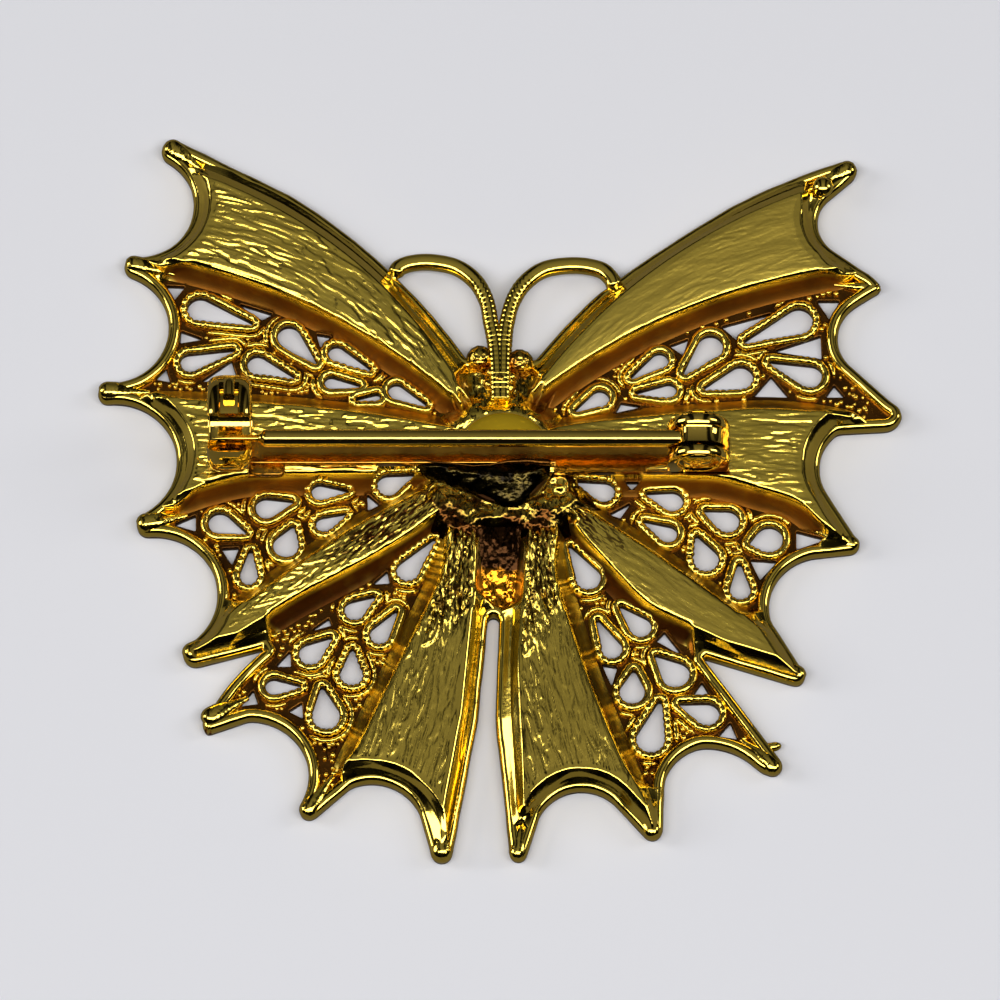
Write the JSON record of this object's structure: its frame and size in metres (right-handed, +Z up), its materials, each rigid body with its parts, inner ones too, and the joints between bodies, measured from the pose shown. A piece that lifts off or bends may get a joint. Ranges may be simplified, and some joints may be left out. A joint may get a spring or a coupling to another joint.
{
  "type": "insect brooch",
  "caption": "Butterfly brooch seen from its pin side: pierced scalloped wings, coiled antennae, a riveted pin stem and a round safety catch.",
  "frame": {"origin": "centre of the bounding box, on the plane that the wing fronts rest on", "axes": "+X along the pin from the catch to the hinge, +Y from the tails to the head, +Z up out of the pin side"},
  "size_m": [0.046, 0.0438, 0.0078],
  "materials": {
    "cast_gold": "antiqued gold plate, polished with brushed panels",
    "finding_gold": "polished gold plate with burnt solder",
    "rivet_gold": "polished gold plate",
    "stem_gold": "bright polished gold plate",
    "sleeve_gold": "polished gold plate"
  },
  "bodies": {
    "brooch": {"butterfly_casting": "cast_gold", "pin_bar": "finding_gold", "hinge_rivet": "rivet_gold"},
    "stem": {"pin_stem": "stem_gold"},
    "sleeve": {"catch_rotor": "sleeve_gold"}
  },
  "joints": [
    {"name": "stem_hinge", "type": "hinge", "parent": "brooch", "child": "stem", "pos_m": [0.0113, 0.0023, 0.00465], "axis": [0, 1, 0], "range_deg": [0, 105]},
    {"name": "catch_turn", "type": "hinge", "parent": "brooch", "child": "sleeve", "pos_m": [-0.0154, 0.00315, 0.0048], "axis": [1, 0, 0], "range_deg": [0, 38]}
  ]
}
